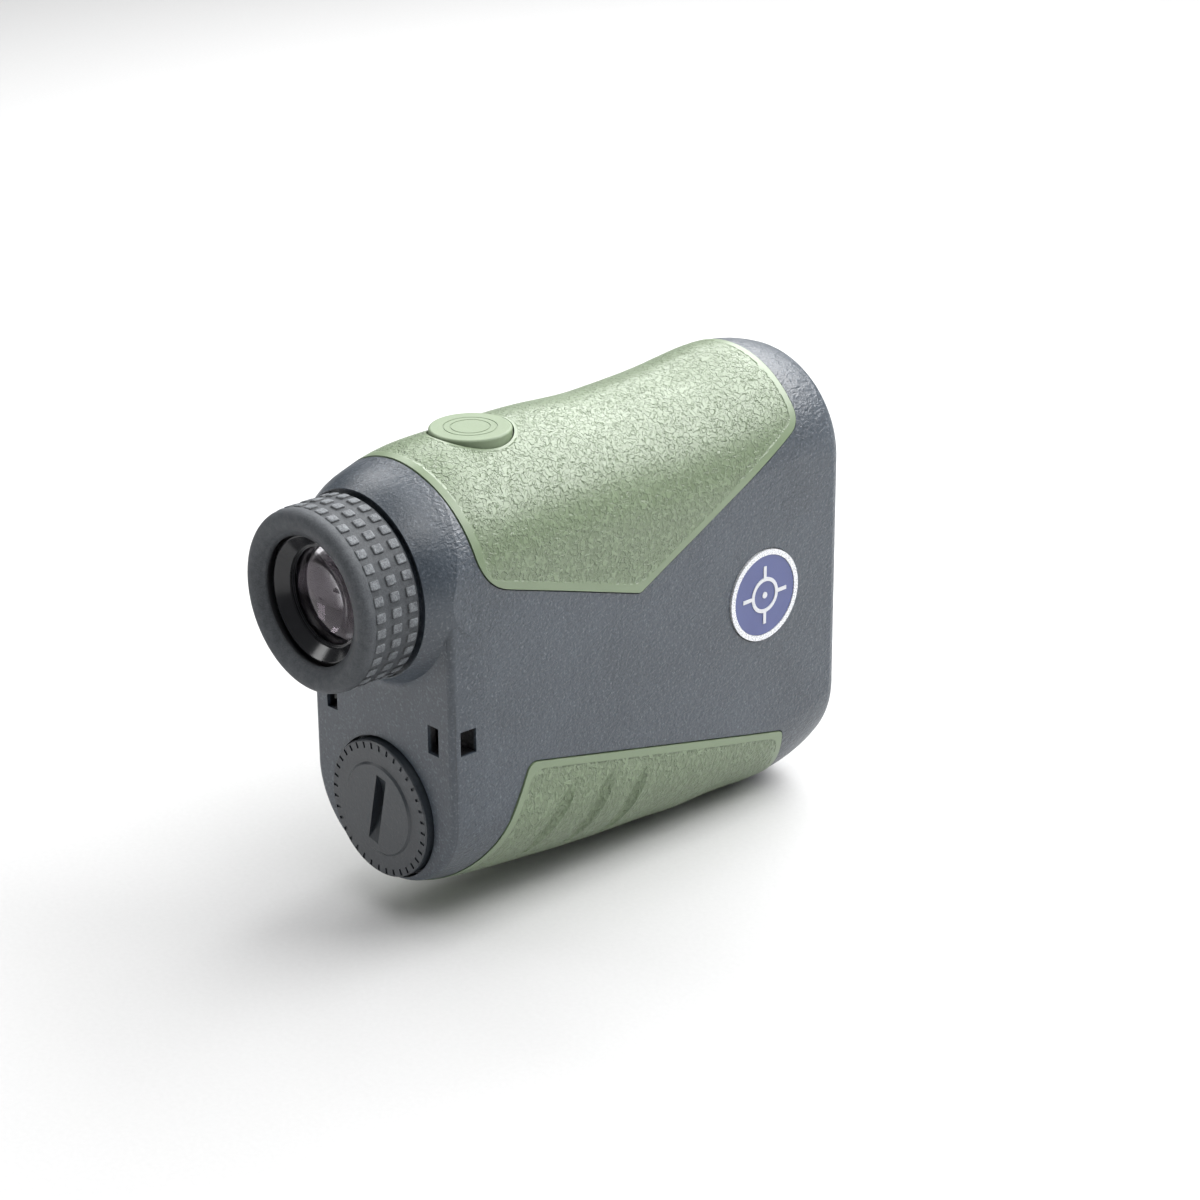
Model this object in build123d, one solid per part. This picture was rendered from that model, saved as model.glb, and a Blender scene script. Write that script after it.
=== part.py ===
from build123d import *
import math
import os

# Handheld laser rangefinder: one upright housing with the eyepiece and battery cap on its rear face,
# two soft grips, a round measure button on top, and both front lenses behind a front cover.
# Millimetres. The Y axis is the sight line, pointing away from the eye; +Z is up, +X is the right side.
# The origin is on the sight line, at the middle of the eyecup's rim band.

# ---- driving dimensions -------------------------------------------------------------------------
rear_y = 13.8            # flat rear face of the housing
seat_y = rear_y - 3.5    # raised collar that the eyepiece turns against
front_y = rear_y + 95.6  # front rim of the housing

half_width = 18.9        # housing half width, before the flats
flat_x = 18.85           # the two flat sides
crown_height = 18.5      # height of the elliptical roof above the flat sides
rear_taper = 0.45        # the sides close in over the last 8 mm, towards the rear face
rear_edge_r = 1.2
front_edge_r = 3.2
wall = 2.6
grip_depth = 1.3         # how deep a grip sits in the housing
grip_proud = 0.15
grip_gap = 0.25          # groove around each grip
glue = 0.03              # adhesive film under a bonded part

# side profile: distance from the rear face, top, bottom
stations = [
    (0, 18.45, -55.9),
    (4, 19.7, -56.9),
    (8, 20.6, -57.6),
    (18, 21.2, -59.0),
    (32, 21.2, -60.7),
    (45, 20.5, -61.8),
    (55, 20.2, -62.6),
    (66, 20.6, -63.1),
    (76, 21.55, -63.6),
    (83, 22.05, -63.8),
    (88, 21.6, -63.1),
    (92, 20.5, -61.7),
    (95.6, 19.0, -59.0),
]

eyecup_r = 15.8          # ground between the nubs
eyecup_rim_r = 15.95     # plain land behind the rolled rim
eyecup_rim_y = -2.0
rim_roll = 1.65
nub_height = 0.35
nub_length = 1.9         # along the sight line
nub_width = 1.65         # around the eyecup
nub_pitch = 3.4
nubs_around = 36
first_nub_y = 0.5

cap_z = -42.75           # battery axis, straight below the sight line
cap_r = 12.5
cap_face_y = rear_y - 1.75
cap_band_y = rear_y - 1.4  # the dimpled band around the raised disc
cap_recess_y = rear_y + 2.1
cap_recess_r = 13.0
cap_seal_y = rear_y + 3.6
cap_bore_r = 10.65
battery_r = 7.8
battery_length = 27.0

button_y = rear_y + 21.7
button_r = 7.2
button_top = 21.65

badge_y = rear_y + 74.8
badge_z = -19.4
badge_r = 8.7
badge_ring_width = 1.0

emitter_z = -38.0
screw_head_r = 1.9


# ---- helpers ------------------------------------------------------------------------------------
def at_y(y):
    """A drawing plane across the sight line: local x is +X, local y is +Z."""
    return Plane((0, y, 0), x_dir=(1, 0, 0), z_dir=(0, -1, 0))


def turned(points, z=0.0):
    """A solid of revolution about a line parallel to Y, from (radius, y) corners."""
    outline = Polyline(*[(r, y, 0) for r, y in points], close=True)
    return Pos(0, 0, z) * revolve(make_face(outline), Axis.Y, 360)


def rod(r, y0, y1, x=0.0, z=0.0):
    """A round bar along Y."""
    return extrude(at_y(y0) * Pos(x, z) * Circle(r), -(y1 - y0))


def tube(r_out, r_in, y0, y1, x=0.0, z=0.0):
    return rod(r_out, y0, y1, x, z) - rod(r_in, y0 - 1, y1 + 1, x, z)


def post(r, z0, z1, x=0.0, y=0.0):
    """A round bar along Z."""
    return Pos(x, y, z0) * extrude(Circle(r), z1 - z0)


def block(x0, x1, y0, y1, z0, z1):
    return Pos((x0 + x1) / 2, (y0 + y1) / 2, (z0 + z1) / 2) * Box(x1 - x0, y1 - y0, z1 - z0)


def mirrored(solid):
    return solid + mirror(solid, Plane.YZ)


def side_prism(outline):
    """A face drawn in the side view, carried across the whole width."""
    return extrude(Plane.YZ * outline, 30, both=True)


def lens(r, clear_r, near_y, far_y, near_bulge, far_bulge):
    """A round lens with a flat rim outside clear_r; a bulge is the height of a cap, outwards."""
    near_tip = (0, near_y - near_bulge)
    far_tip = (0, far_y + far_bulge)
    with BuildSketch(Plane.XY) as half:
        with BuildLine():
            Line(near_tip, far_tip)
            cap_arc(far_tip, clear_r, far_y, far_bulge)
            Polyline((clear_r, far_y), (r, far_y), (r, near_y), (clear_r, near_y))
            cap_arc(near_tip, clear_r, near_y, -near_bulge)
        make_face()
    return revolve(half.sketch, Axis.Y, 360)


def cap_arc(tip, r, edge_y, rise):
    """The arc of a spherical face from its tip on the axis to its edge at radius r."""
    sphere_r = (r * r + rise * rise) / (2 * abs(rise))
    drop = sphere_r - math.sqrt(sphere_r**2 - (r / 2) ** 2)
    return ThreePointArc(tip, (r / 2, tip[1] - math.copysign(drop, rise)), (r, edge_y))


def coil(r, wire_r, turns, height):
    """A coil spring standing on Z = 0."""
    path = Helix(pitch=height / turns, height=height, radius=r)
    section = Plane(path @ 0, z_dir=path % 0) * Circle(wire_r)
    return sweep(section, path)


# ---- housing body -------------------------------------------------------------------------------
def keel_height(y):
    """The rounded keel deepens towards the front."""
    return 16.5 + 2.0 * min(1.0, y / 60)


def outline_at(y, top, bottom, inset):
    """Cross-section: flat sides between an elliptical roof and an elliptical keel."""
    w = half_width - inset - rear_taper * max(0.0, 1 - y / 8)
    keel = keel_height(y)
    roof_z = top - crown_height
    keel_z = bottom + keel
    with BuildSketch(at_y(rear_y + y)) as s:
        with BuildLine():
            EllipticalCenterArc((0, roof_z), w, crown_height - inset, 0, arc_size=180)
            Line((-w, roof_z), (-w, keel_z))
            EllipticalCenterArc((0, keel_z), w, keel - inset, 180, arc_size=180)
            Line((w, keel_z), (w, roof_z))
        make_face()
    return s.sketch


def body_shape(inset, start=0.0, end=95.6):
    """The housing's outer form, shrunk by inset, between two distances from the rear face."""
    inner = [s for s in stations if start < s[0] < end]
    rows = [(start, *profile_at(start))] + inner + [(end, *profile_at(end))]
    return loft([outline_at(y, top, bottom, inset).face() for y, top, bottom in rows])


def profile_at(y):
    """Top and bottom height between two stations."""
    for (y0, t0, b0), (y1, t1, b1) in zip(stations, stations[1:]):
        if y0 <= y <= y1:
            k = (y - y0) / (y1 - y0)
            return t0 + k * (t1 - t0), b0 + k * (b1 - b0)
    return stations[-1][1:]


def outer_form():
    form = body_shape(0)
    rear = form.edges().filter_by_position(Axis.Y, rear_y - 0.01, rear_y + 0.01)
    form = fillet(rear, rear_edge_r)
    front = form.edges().filter_by_position(Axis.Y, front_y - 0.01, front_y + 0.01)
    form = fillet(front, front_edge_r)
    return form


def collar():
    """The round collar behind the eyepiece, which swells into the roof and the sides."""
    with BuildSketch(Plane.XY) as half:
        with BuildLine():
            swell = [(16.6, -3.5), (17.4, -2.2), (18.5, 0), (19.4, 3), (20.2, 6)]
            Spline(*[(r, rear_y + y) for r, y in swell])
            Polyline((20.2, rear_y + 6), (0, rear_y + 6), (0, seat_y), (16.6, seat_y))
        make_face()
    return revolve(half.sketch, Axis.Y, 360) & collar_limits(0.02)


def collar_foot():
    """The hollow curve between the collar and the rear face: a ring set low, so it shows below only."""
    foot_drop = 1.2
    with BuildSketch(Plane.XY) as half:
        with BuildLine():
            ThreePointArc((16.3, rear_y - 2.1), (17.25, rear_y - 0.6), (19.1, rear_y))
            Polyline((19.1, rear_y), (19.1, rear_y + 0.5), (15, rear_y + 0.5), (15, rear_y - 2.1),
                     (16.3, rear_y - 2.1))
        make_face()
    ring = Pos(0, 0, -foot_drop) * revolve(half.sketch, Axis.Y, 360)
    return ring & collar_limits(rear_edge_r)


def collar_limits(inset):
    """The housing's own outline, so that nothing round stands out of its sides."""
    return extrude(outline_at(6, *profile_at(6), inset).face(), 12)


def top_grip_outline(grow):
    """Side view: over the roof, with a low corner in front of the middle."""
    with BuildSketch() as s:
        with BuildLine():
            corners = [(4.5, 30), (5.0, 19), (7.1, 1.7), (43.5, -9.8), (84.8, 10.8), (84.6, 30)]
            Polyline(*[(rear_y + y, z) for y, z in corners], close=True)
        make_face()
        for y, z, r in ((7.1, 1.7, 9.0), (43.5, -9.8, 1.6), (84.8, 10.8, 4.2)):
            fillet(s.vertices().sort_by_distance((rear_y + y, z))[0], r)
        if grow:
            offset(amount=grow)
    return s.sketch


def bottom_grip_outline(grow):
    """Side view: round the keel, with an arched rear edge."""
    with BuildSketch() as s:
        with BuildLine():
            ThreePointArc((rear_y + 17.1, -33.6), (rear_y + 10.6, -45.8), (rear_y + 1.5, -57.2))
            Polyline((rear_y + 1.5, -57.2), (rear_y + 1.5, -68), (rear_y + 84.5, -68),
                     (rear_y + 80.4, -48.6), (rear_y + 17.1, -33.6))
        make_face()
        for y, z, r in ((17.1, -33.6, 2.0), (80.4, -48.6, 1.3)):
            fillet(s.vertices().sort_by_distance((rear_y + y, z))[0], r)
        if grow:
            offset(amount=grow)
    return s.sketch


def grip_skin():
    return body_shape(-grip_proud) - body_shape(grip_depth - glue)


def keel_point(y, z, lift):
    """A point lifted off the keel's surface on the right side, at this distance and height."""
    bottom = profile_at(y)[1]
    keel = keel_height(y)
    drop = min(0.0, z - bottom - keel)
    x = half_width * math.sqrt(1 - (drop / keel) ** 2)
    out_x, out_z = x / half_width**2, drop / keel**2
    length = math.hypot(out_x, out_z)
    return x + lift * out_x / length, rear_y + y, z + lift * out_z / length


def finger_grooves():
    """Three soft dents across each side of the lower grip; each slants back and fades at both ends."""
    radius = 1.9
    grooves = []
    for y, z, slant in ((27.6, -40.5, 8.6), (36.3, -42.2, 6.6), (44.6, -44.0, 5.4)):
        rows = [(0, radius + 0.1), (0.3, radius - 0.6), (0.65, radius - 0.65), (1, radius)]
        points = [keel_point(y - slant * f, z - 12.5 * f, lift) for f, lift in rows]
        path = Spline(*points)
        grooves.append(sweep(Plane(path @ 0, z_dir=path % 0) * Circle(radius), path))
    return [side for groove in grooves for side in (groove, mirror(groove, Plane.YZ))]


def button_hole(r, z0=15.0):
    return post(r, z0, 30, 0, button_y)


def main_housing():
    outer = (outer_form() + collar() + collar_foot()) & block(-flat_x, flat_x, 0, 120, -80, 40)
    shell = outer - body_shape(wall, start=2.4, end=92.4)
    shell -= extrude(outline_at(95.6, *profile_at(95.6), 4.6).face(), 5)
    shell -= extrude(Pos(0, 1, 0) * outline_at(95.6, *profile_at(95.6), 4.6).face(), 2)
    inside = outer & body_shape(0.3, start=0.3, end=92.4)
    shell += inside & housing_bosses()
    for outline in (top_grip_outline, bottom_grip_outline):
        shell -= side_prism(outline(grip_gap)) - body_shape(grip_depth)
    shell -= button_hole(button_r + 0.3)
    shell -= post(2.2, 13, 16, 0, button_y)
    # eyepiece tube bore and counterbore, and the shadow groove behind the eyecup
    shell -= tube(16.4, 14.2, seat_y - 1, seat_y + 1.2)
    shell -= rod(12.7, 0, rear_y + 5)
    shell -= rod(13.7, 0, rear_y - 2.7)
    # battery cap recess, seal bore, mouth of the battery tube
    shell -= rod(cap_recess_r, 0, cap_recess_y, 0, cap_z)
    shell -= rod(cap_bore_r, 0, rear_y + 6.2, 0, cap_z)
    shell -= rod(9.7, 0, rear_y + 12, 0, cap_z)
    shell -= mirrored(strap_tunnel())
    for x, z in cover_screw_places:
        shell -= rod(0.95, rear_y + 82, rear_y + 93, x, z)
    for y, z in board_screw_places:
        shell -= bar_x(0.95, -17, -10, y, z)
    shell -= bar_x(badge_r + 0.2, badge_floor_x, 30, badge_y, badge_z)
    return shell


cover_screw_places = [(11, -19), (-11, -19), (5, -50.3), (-5, -50.3)]
board_screw_places = [(rear_y + 42, -28), (rear_y + 82, -44)]
badge_floor_x = flat_x - 0.6


def tube_z(r_out, r_in, z0, z1, y):
    return post(r_out, z0, z1, 0, y) - post(r_in, z0 - 1, z1 + 1, 0, y)


def bar_x(r, x0, x1, y, z):
    """A round bar along X."""
    return Pos(x0, y, z) * extrude(Plane.YZ * Circle(r), x1 - x0)


def strap_tunnel():
    """A right-angle passage behind the rear corner: one window in the rear face, one in the side."""
    rear_window = block(12.05, 14.8, 0, rear_y + 11.0, -28.4, -23.1)
    side_window = block(8.4, 25, rear_y + 1.7, rear_y + 5.0, -27.6, -23.1)
    return rear_window + side_window


def housing_bosses():
    """Everything that stands inside the shell, before it is trimmed to the shell."""
    solids = rod(13.3, rear_y, rear_y + 9, 0, cap_z)
    solids += mirrored(block(7.0, 19, rear_y, rear_y + 12.5, -30, -21.5))
    solids += post(9.3, 14, 22, 0, button_y)
    for x, z in cover_screw_places:
        side = math.copysign(1, x)
        if z > -30:
            solids += block(*sorted((side * 8.6, side * 19)), rear_y + 80, rear_y + 92.1, z - 3, z + 3)
        else:
            solids += block(x - 2.2, x + 2.2, rear_y + 80, rear_y + 92.1, -64, z + 2.0)
    for y, z in board_screw_places:
        solids += bar_x(2.3, -19, -12.3, y, z)
    saddle = block(-9.8, 18, rear_y + 66, rear_y + 68, -64, -34)
    solids += saddle - rod(9.5, rear_y + 60, rear_y + 70, 0, emitter_z)
    return solids


# ---- grips and badge ----------------------------------------------------------------------------
def top_grip():
    grip = grip_skin() & side_prism(top_grip_outline(0))
    return grip - button_hole(button_r + 0.3, 10)


def bottom_grip():
    grip = grip_skin() & side_prism(bottom_grip_outline(0))
    for groove in finger_grooves():
        grip -= groove
    return grip


def badge():
    floor = badge_floor_x + glue
    ring = bar_x(badge_r, floor, flat_x + 0.35, badge_y, badge_z)
    ring -= bar_x(badge_r - badge_ring_width, floor - 1, 30, badge_y, badge_z)
    disc = bar_x(badge_r - badge_ring_width - 0.05, floor, flat_x + 0.2, badge_y, badge_z)
    face = flat_x + 0.2
    circle = bar_x(3.4, face, face + 0.15, badge_y, badge_z) - bar_x(2.7, 0, 30, badge_y, badge_z)
    symbol = circle + bar_x(0.6, face, face + 0.15, badge_y, badge_z)
    for turn in (0, 90, 180, 270):
        tick = block(face, face + 0.15, 3.2, 5.6, -0.35, 0.35)
        symbol += Pos(0, badge_y, badge_z) * Rot(turn, 0, 0) * tick
    return ring, disc, symbol


# ---- front cover --------------------------------------------------------------------------------
def front_plate(inset, y0, y1, hole_r_top, hole_r_low):
    outline = outline_at(95.6, *profile_at(95.6), inset).face()
    plate = Pos(0, rear_y + y1 - front_y, 0) * extrude(outline, y1 - y0)
    plate -= rod(hole_r_top, 0, 130)
    return plate - rod(hole_r_low, 0, 130, 0, emitter_z)


def front_cover():
    cover = front_plate(5.2, 92.2, 94.4, 12.6, 9.5)
    for x, z in cover_screw_places:
        cover -= rod(1.2, 0, 130, x, z)
        cover -= rod(screw_head_r + 0.15, rear_y + 93.2, rear_y + 95, x, z)
    return cover


def front_gasket():
    hole = Pos(0, 1, 0) * extrude(outline_at(95.6, *profile_at(95.6), 5.17).face(), 10)
    outline = outline_at(95.6, *profile_at(95.6), 4.63).face()
    return Pos(0, -1.4, 0) * extrude(outline, 1.8) - hole


def screw(head_r, head_h, shank_r, length):
    """A pan-head screw pointing down from Z = 0, with a cross recess in its head."""
    head = fillet(post(head_r, 0, head_h).edges().sort_by(Axis.Z)[-1], head_h * 0.4)
    arms = Box(head_r * 1.1, 0.45, head_h) + Box(0.45, head_r * 1.1, head_h)
    return head + post(shank_r, -length, 0) - Pos(0, 0, head_h) * arms


def cover_screws():
    one = Rot(-90, 0, 0) * screw(screw_head_r, 1.1, 0.85, 9)
    return [Pos(x, rear_y + 93.22, z) * one for x, z in cover_screw_places]


# ---- objective and emitter ----------------------------------------------------------------------
def lens_bezel(r_thread, r_flange, r_clear, y_lens):
    """A threaded retaining ring whose inner wall opens in a cone towards the front."""
    return turned([
        (r_thread, y_lens), (r_thread, rear_y + 94.42), (r_flange, rear_y + 94.42),
        (r_flange, rear_y + 95.0), (r_flange - 0.3, rear_y + 95.2), (r_clear + 0.9, rear_y + 95.2),
        (r_clear, y_lens + 0.8), (r_clear, y_lens),
    ])


def objective():
    cell = turned([
        (12.5, rear_y + 78.1), (12.5, rear_y + 94.4), (11.6, rear_y + 94.4), (11.6, rear_y + 84.4),
        (10.4, rear_y + 84.4), (10.4, rear_y + 83.2), (11.3, rear_y + 82.2), (11.3, rear_y + 78.1),
    ])
    crown = lens(11.5, 10.35, rear_y + 87.65, rear_y + 89.9, 0.9, 1.9)
    flint = lens(11.5, 10.35, rear_y + 84.9, rear_y + 87.6, 0.4, -0.9)
    retainer = lens_bezel(11.55, 12.3, 10.6, rear_y + 89.95)
    return cell, crown, flint, retainer


def emitter():
    lift = Pos(0, 0, emitter_z)
    barrel = turned([
        (9.4, rear_y + 60.2), (9.4, rear_y + 94.4), (8.4, rear_y + 94.4), (8.4, rear_y + 88.8),
        (7.6, rear_y + 88.8), (7.6, rear_y + 87.8), (8.4, rear_y + 86.8), (8.4, rear_y + 60.2),
    ])
    glass = lens(8.3, 7.45, rear_y + 89.3, rear_y + 90.9, 0.4, 1.5)
    retainer = lens_bezel(8.35, 9.2, 7.5, rear_y + 90.95)
    holder = turned([(2.9, rear_y + 61.1), (8.35, rear_y + 61.1), (8.35, rear_y + 64), (2.9, rear_y + 64)])
    return [lift * solid for solid in (barrel, glass, retainer, holder)]


def laser_diode():
    can = rod(2.8, rear_y + 61, rear_y + 65, 0, emitter_z) + rod(4.5, rear_y + 60.2, rear_y + 61, 0, emitter_z)
    for turn in range(3):
        a = math.radians(90 + 120 * turn)
        can += rod(0.25, rear_y + 57, rear_y + 60.2, 1.3 * math.cos(a), emitter_z + 1.3 * math.sin(a))
    return can


def laser_board():
    board = rod(9.0, rear_y + 57.8, rear_y + 59.0, 0, emitter_z)
    for turn in range(3):
        a = math.radians(90 + 120 * turn)
        board -= rod(0.35, rear_y + 57, rear_y + 60, 1.3 * math.cos(a), emitter_z + 1.3 * math.sin(a))
    return board


# ---- optics on the chassis ----------------------------------------------------------------------
chassis_floor_z = -10.2
chassis_half = 11.0


def optics_chassis():
    outside = block(-chassis_half, chassis_half, rear_y + 8, rear_y + 78, chassis_floor_z - 1.4, 7.35)
    inside = block(-chassis_half + 1.2, chassis_half - 1.2, 0, rear_y + 76.8, chassis_floor_z, 20)
    tray = outside - inside - rod(10.6, rear_y + 70, rear_y + 80)
    return tray - post(3.2, -20, 0, 0, rear_y + 49)


def prisms():
    half_outline = Polyline((rear_y + 56, 8.6), (rear_y + 56, -10.15), (rear_y + 49.2, -10.15),
                            (rear_y + 41.2, 8.6), close=True)
    half = Plane.YZ * make_face(half_outline)
    roof_outline = Polyline((rear_y + 48.8, -10.15), (rear_y + 40.8, 8.6), (rear_y + 36, 8.6),
                            (rear_y + 30, 2.0), (rear_y + 30, -10.15), close=True)
    roof = extrude(Plane.YZ * make_face(roof_outline), 8.5, both=True)
    ridge = Polyline((-8.6, -11), (8.6, -11), (8.6, 0.2), (0, 8.8), (-8.6, 0.2), close=True)
    gable = extrude(at_y(rear_y + 60) * make_face(ridge), 40)
    return extrude(half, 8.5, both=True), roof & gable


def prism_clip():
    strap = block(-9.7, 9.7, rear_y + 44, rear_y + 54, 8.65, 9.05)
    legs = mirrored(block(9.3, 9.7, rear_y + 44, rear_y + 54, 0, 9.05))
    return strap + legs


def receiver():
    y = rear_y + 49
    can = post(4.1, -16, chassis_floor_z - 1.5, 0, y) + post(4.6, -16.7, -16, 0, y)
    board = block(-8, 8, y - 9, y + 9, -18, -16.75)
    return can, board


def display():
    y = rear_y + 12.4
    panel = block(-7, 7, y, y + 0.9, -6, 6)
    frame = block(-9.7, 9.7, y - 1.2, y + 2.4, chassis_floor_z + 0.05, 7)
    frame -= block(-7.1, 7.1, y - 0.05, y + 0.95, -6.1, 6.1)
    frame -= block(-5.6, 5.6, y - 5, y + 5, -5, 5)
    return panel, frame - block(-7.1, 7.1, y - 0.05, y + 0.95, 0, 10)


# ---- electronics --------------------------------------------------------------------------------
def main_board():
    board = block(-12.2, -11.0, rear_y + 39, rear_y + 86, -48, -24)
    for y, z in board_screw_places:
        board -= bar_x(1.2, -14, -9, y, z)
    return board


def board_parts():
    """Chips, coil and connectors on the inner face of the main board: y, z, length, height, thickness."""
    layout = [
        (52, -33, 10, 10, 1.2), (47, -44, 6, 5, 3.0), (56, -44, 4, 4, 2.4), (70, -28, 7, 6, 0.8),
        (79, -30, 5, 4, 0.8), (63, -44, 8, 3, 0.8), (74, -40, 6, 6, 0.8), (47, -27, 3, 4, 1.0),
    ]
    face = -11.0 + 0.01
    return [block(face, face + t, rear_y + y - l / 2, rear_y + y + l / 2, z - h / 2, z + h / 2)
            for y, z, l, h, t in layout]


def board_screws():
    one = Rot(0, 90, 0) * screw(1.8, 1.0, 0.85, 4.5)
    return [Pos(-10.98, y, z) * one for y, z in board_screw_places]


def battery_tube():
    return turned([
        (8.1, rear_y + 6.4), (9.6, rear_y + 6.4), (9.6, rear_y + 37.6), (0, rear_y + 37.6),
        (0, rear_y + 36.4), (8.1, rear_y + 36.4),
    ], cap_z)


def battery_spring():
    spring = coil(4.6, 0.35, 3, 2.2)
    return Pos(0, rear_y + 33.75, cap_z) * Rot(-90, 0, 0) * spring


def battery():
    can_y = rear_y + 6.9
    can = rod(battery_r, can_y, can_y + battery_length - 0.9, 0, cap_z)
    can = fillet(can.edges().filter_by(GeomType.CIRCLE), 0.5)
    return can + rod(3.1, can_y - 0.9, can_y, 0, cap_z)


# ---- battery cap --------------------------------------------------------------------------------
def battery_cap():
    """Screw cap: a raised disc with a coin slot, inside a band of dimples."""
    disc_r = 8.2
    cap = turned([
        (0, cap_face_y), (disc_r, cap_face_y), (disc_r + 0.4, cap_band_y), (cap_r - 0.2, cap_band_y),
        (cap_r, cap_band_y + 0.2), (cap_r, cap_recess_y - 0.05), (10.35, cap_recess_y - 0.05),
        (10.35, cap_seal_y - 0.6), (9.4, cap_seal_y - 0.6), (9.4, cap_seal_y + 0.6),
        (10.35, cap_seal_y + 0.6), (10.35, rear_y + 5.9), (8.4, rear_y + 5.9), (8.4, rear_y + 4.0),
        (1.7, rear_y + 4.0), (1.7, rear_y + 3.0), (0, rear_y + 3.0),
    ])
    slot_length, slot_width, slot_depth = 13.2, 2.5, 2.1
    coin_r = ((slot_length / 2) ** 2 + slot_depth**2) / (2 * slot_depth)
    coin_y = cap_face_y + slot_depth - coin_r
    coin = Pos(0, coin_y, 0) * extrude(Plane.YZ * Circle(coin_r), slot_width / 2, both=True)
    cap -= Rot(0, 12, 0) * coin
    dimple = Pos(11.65, cap_band_y, 0) * Box(1.1, 0.5, 0.5)
    for turn in range(36):
        cap -= Rot(0, 10 * turn + 3, 0) * dimple
    return Pos(0, 0, cap_z) * cap


def cap_oring():
    ring = revolve(Pos(10.0, cap_seal_y) * Circle(0.55), Axis.Y, 360)
    return Pos(0, 0, cap_z) * ring


def cap_contact():
    return turned([
        (0, rear_y + 3.1), (1.6, rear_y + 3.1), (1.6, rear_y + 4.3), (7.4, rear_y + 4.3),
        (7.4, rear_y + 4.8), (3.4, rear_y + 4.8), (2.2, rear_y + 5.95), (0, rear_y + 5.95),
    ], cap_z)


# ---- eyepiece -----------------------------------------------------------------------------------
def eyepiece_tube():
    return turned([
        (11.3, rear_y - 8.9), (12.6, rear_y - 8.9), (12.6, rear_y - 7.4), (11.9, rear_y - 7.4),
        (11.9, rear_y - 6.2), (12.6, rear_y - 6.2), (12.6, rear_y - 3.45), (13.6, rear_y - 3.45),
        (13.6, rear_y - 2.72), (12.6, rear_y - 2.72), (12.6, rear_y + 6), (11.3, rear_y + 6),
    ])


def eyepiece_nut():
    return tube(15.2, 12.63, rear_y + 2.45, rear_y + 4.4)


def eyepiece_oring():
    return revolve(Pos(12.27, rear_y - 6.8) * Circle(0.34), Axis.Y, 360)


def diopter_ring():
    return turned([
        (12.65, rear_y - 3.75), (14.2, rear_y - 3.75), (14.2, rear_y - 14.3), (11.5, rear_y - 14.3),
        (11.5, rear_y - 13.8), (12.65, rear_y - 13.8),
    ])


def eyecup():
    """Rubber sleeve with a rolled rim and rows of square nubs."""
    front = seat_y - 0.35
    lip_y = rear_y - 14.35
    rim = eyecup_rim_y
    with BuildSketch(Plane.XY) as half:
        with BuildLine():
            Polyline((14.22, front), (eyecup_r - 0.3, front), (eyecup_r, front - 0.3),
                     (eyecup_r, -rim - rim_roll + 0.15), (eyecup_rim_r, -rim - rim_roll),
                     (eyecup_rim_r, rim + rim_roll))
            roll_mid = rim_roll * (1 - math.sqrt(0.5))
            ThreePointArc((eyecup_rim_r, rim + rim_roll), (eyecup_rim_r - roll_mid, rim + roll_mid),
                          (eyecup_rim_r - rim_roll, rim))
            ThreePointArc((eyecup_rim_r - rim_roll, rim), (12.9, rim + 0.35), (12.3, rim + 0.8))
            Polyline((12.3, rim + 0.8), (11.3, lip_y), (14.22, lip_y), (14.22, front))
        make_face()
    cup = revolve(half.sketch, Axis.Y, 360)
    nub_top_r = eyecup_r + nub_height
    for row in range(3):
        y = first_nub_y + row * nub_pitch
        ring = tube(nub_top_r, eyecup_r - 0.3, y, y + nub_length)
        for k in range(nubs_around):
            nub = ring & block(-nub_width / 2, nub_width / 2, y, y + nub_length, 10, 20)
            cup += Rot(0, 0.8 + 360 / nubs_around * (k + 0.5), 0) * nub
    return cup


def ocular():
    cell = turned([
        (9.9, rear_y - 11.9), (12.56, rear_y - 11.9), (12.56, rear_y - 10.7), (11.24, rear_y - 10.7),
        (11.24, rear_y + 5.5), (8.6, rear_y + 5.5), (8.6, rear_y + 4.4), (9.9, rear_y + 4.4),
    ])
    eye = lens(9.8, 8.5, rear_y - 10.6, rear_y - 8.0, 1.5, 1.6)
    field = lens(9.8, 8.55, rear_y + 1.0, rear_y + 3.6, 1.6, 0.6)
    spacer = tube(9.85, 8.8, rear_y - 7.95, rear_y + 0.95)
    retainer = turned([
        (9.85, rear_y - 10.65), (9.85, rear_y - 11.95), (11.0, rear_y - 11.95), (11.0, rear_y - 13.3),
        (10.8, rear_y - 13.3), (9.0, rear_y - 11.4), (9.0, rear_y - 11.1), (8.75, rear_y - 11.1),
        (8.75, rear_y - 10.85), (8.55, rear_y - 10.85), (8.55, rear_y - 10.65),
    ])
    return cell, eye, field, spacer, retainer


# ---- measure button -----------------------------------------------------------------------------
def measure_button():
    cap = post(button_r, 17.0, button_top)
    cap = fillet(cap.edges().sort_by(Axis.Z)[-1], 0.45)
    cap -= post(6.0, 16, 19.4)
    cap += post(1.9, 11.95, 19.5)
    for ring_r in (3.4, 4.6):
        cap -= post(ring_r + 0.1, button_top - 0.12, 30) - post(ring_r - 0.1, 15, 31)
    return Pos(0, button_y, 0) * cap


def button_clip():
    return tube_z(3.4, 1.93, 13.1, 13.7, button_y)


def button_spring():
    return Pos(0, button_y, 15.35) * coil(3.2, 0.28, 4, 3.7)


def tact_switch():
    case = Pos(0, button_y, 9.85) * Box(6, 6, 2.3)
    return case - post(1.8, 9.8, 12, 0, button_y)


def switch_plunger():
    return post(1.6, 10.6, 11.9, 0, button_y)


def button_board():
    return block(-chassis_half, chassis_half, button_y - 8, button_y + 8, 7.45, 8.65)


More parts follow.
